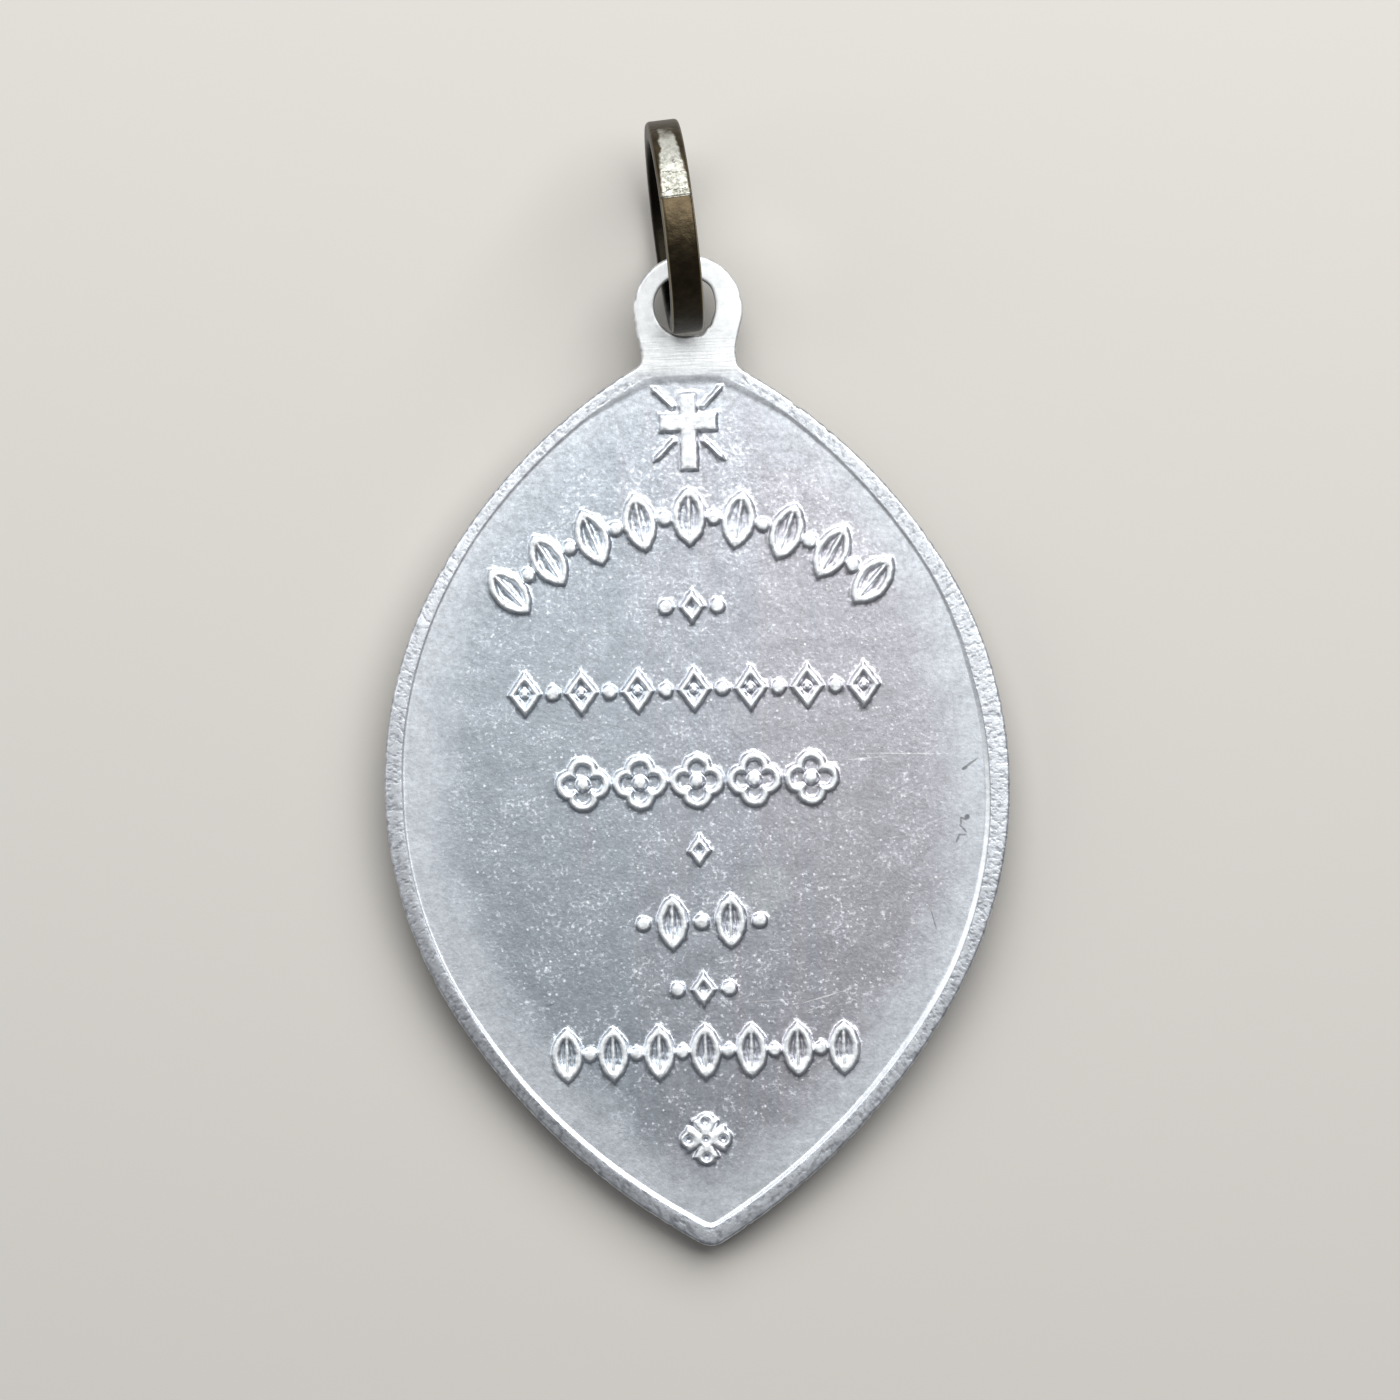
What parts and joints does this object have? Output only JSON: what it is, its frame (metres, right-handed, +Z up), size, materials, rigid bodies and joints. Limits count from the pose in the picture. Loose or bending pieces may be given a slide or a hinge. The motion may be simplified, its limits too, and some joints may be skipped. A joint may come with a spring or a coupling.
{
  "type": "religious medal with suspension ring",
  "caption": "Struck pointed-oval medal with a raised rim, relief ornament and a pierced lug that carries a plain band ring.",
  "frame": {"origin": "middle of the bounding box's base, on the surface that the medal lies on, face up", "axes": "+Y from the medal's pointed foot towards its lug and ring, +Z up, away from the surface, +X to the right as the face is read"},
  "size_m": [0.0278, 0.0502, 0.0095],
  "materials": {
    "medal_metal": "struck aluminium, bright on the worn relief and rim, finely grained in the field",
    "ring_metal": "brass band darkened to a brown patina, with a worn silvery patch beside its seam"
  },
  "bodies": {
    "root": {"medal": "medal_metal", "ring": "ring_metal"}
  },
  "joints": []
}
